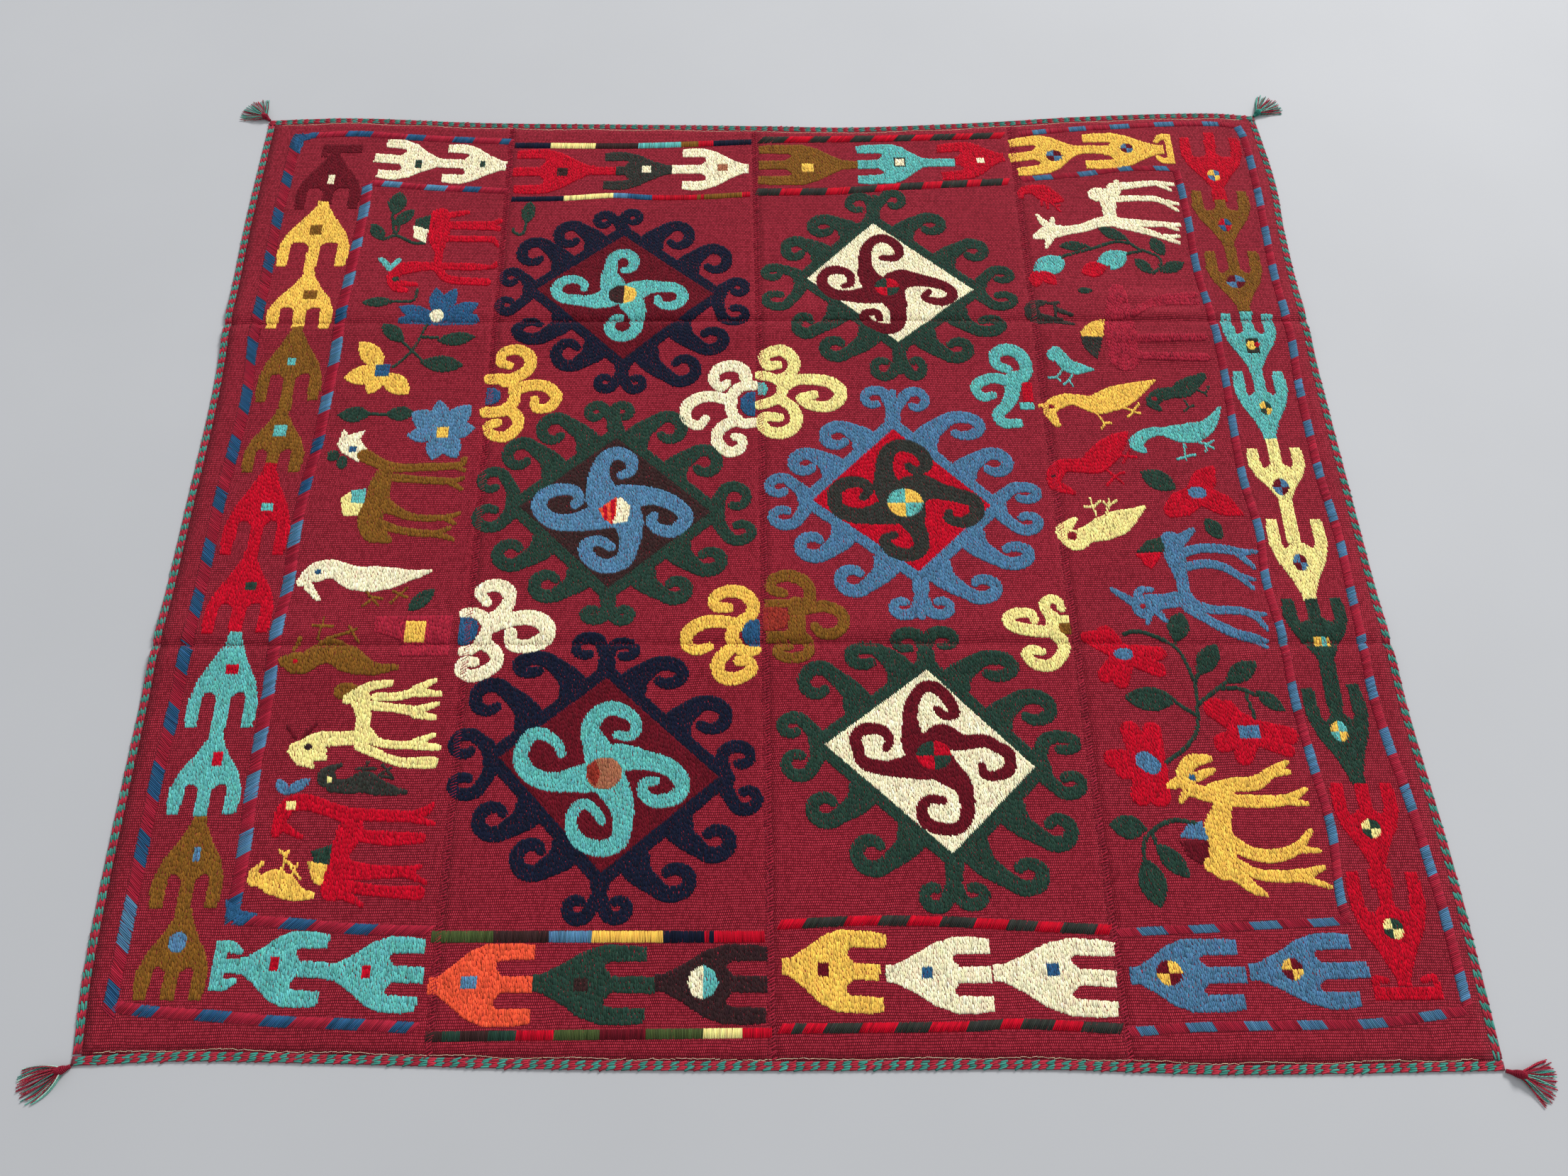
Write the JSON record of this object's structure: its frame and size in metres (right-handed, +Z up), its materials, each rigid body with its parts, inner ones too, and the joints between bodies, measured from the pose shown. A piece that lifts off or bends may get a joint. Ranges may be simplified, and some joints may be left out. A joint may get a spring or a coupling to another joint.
{
  "type": "flat weave rug",
  "caption": "Flat weave wool rug of narrow woven strips sewn edge to edge, with a flat braid binding and a knotted yarn tassel at each corner.",
  "frame": {"origin": "on the floor under the middle of the cloth, on the rug's underside", "axes": "+X across the woven strips, +Y along the strips towards the far edge of the picture, +Z up out of the embroidered face"},
  "size_m": [2.0569, 1.8103, 0.0118],
  "materials": {
    "madder_weave": "matte",
    "embroidery_wool": "matte",
    "edge_braid": "matte",
    "tassel_yarn": "matte"
  },
  "bodies": {
    "root": {"panel_1": "madder_weave", "panel_2": "madder_weave", "panel_3": "madder_weave", "panel_4": "madder_weave", "binding_top": "edge_braid", "binding_bottom": "edge_braid", "binding_left": "edge_braid", "binding_right": "edge_braid", "tassel_top_left": "tassel_yarn", "tassel_top_right": "tassel_yarn", "tassel_bottom_left": "tassel_yarn", "tassel_bottom_right": "tassel_yarn"}
  },
  "joints": []
}
